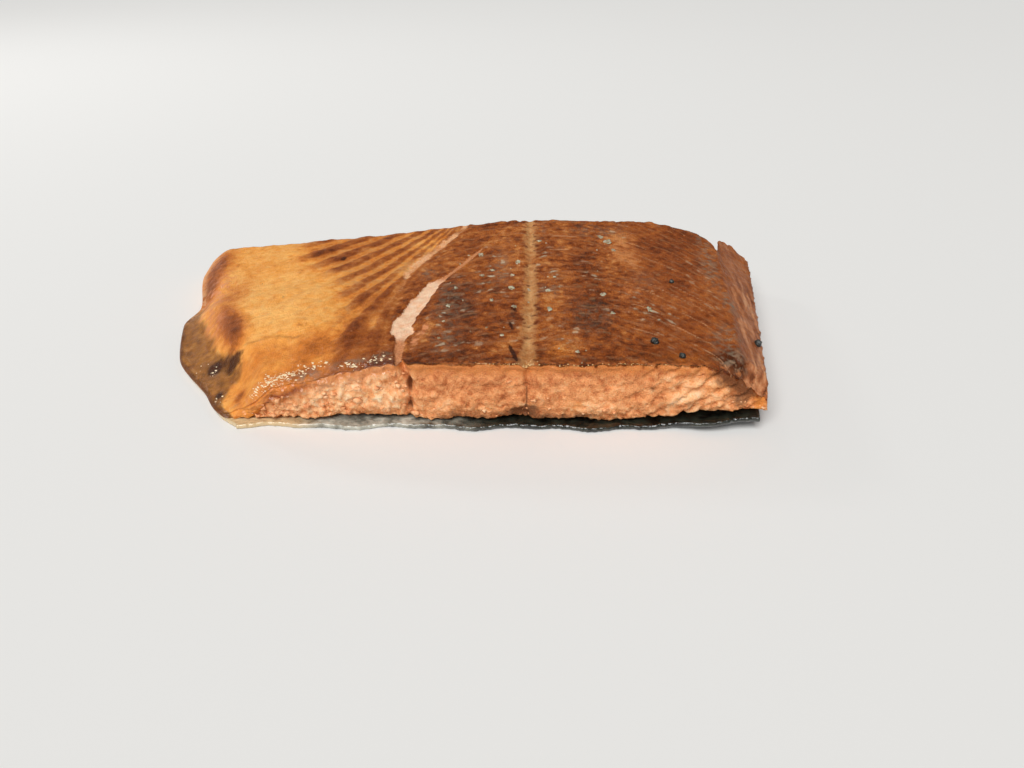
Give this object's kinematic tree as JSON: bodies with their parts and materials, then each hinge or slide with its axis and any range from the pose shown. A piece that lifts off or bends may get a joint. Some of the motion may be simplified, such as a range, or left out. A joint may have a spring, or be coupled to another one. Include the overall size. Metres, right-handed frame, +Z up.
{
  "type": "hot smoked salmon portion",
  "caption": "Crosswise portion of hot smoked salmon side, thick at the back and thin at the belly, lying on its skin with flaky cut faces.",
  "frame": {"origin": "middle of the portion's footprint box, on the surface it lies on", "axes": "+X from the thin belly edge to the thick dorsal edge, +Y from the front cut to the back cut, +Z up"},
  "size_m": [0.2183, 0.1202, 0.0245],
  "materials": {
    "flesh": "moist cooked fish flesh: smoked brown to amber pellicle on top, pale pink crumbly cut faces, a little oil along the edges",
    "skin": "wet dark grey fish skin with silver glints, silver and whitish towards the belly"
  },
  "bodies": {
    "root": {"flesh": "flesh", "skin": "skin"}
  },
  "joints": []
}
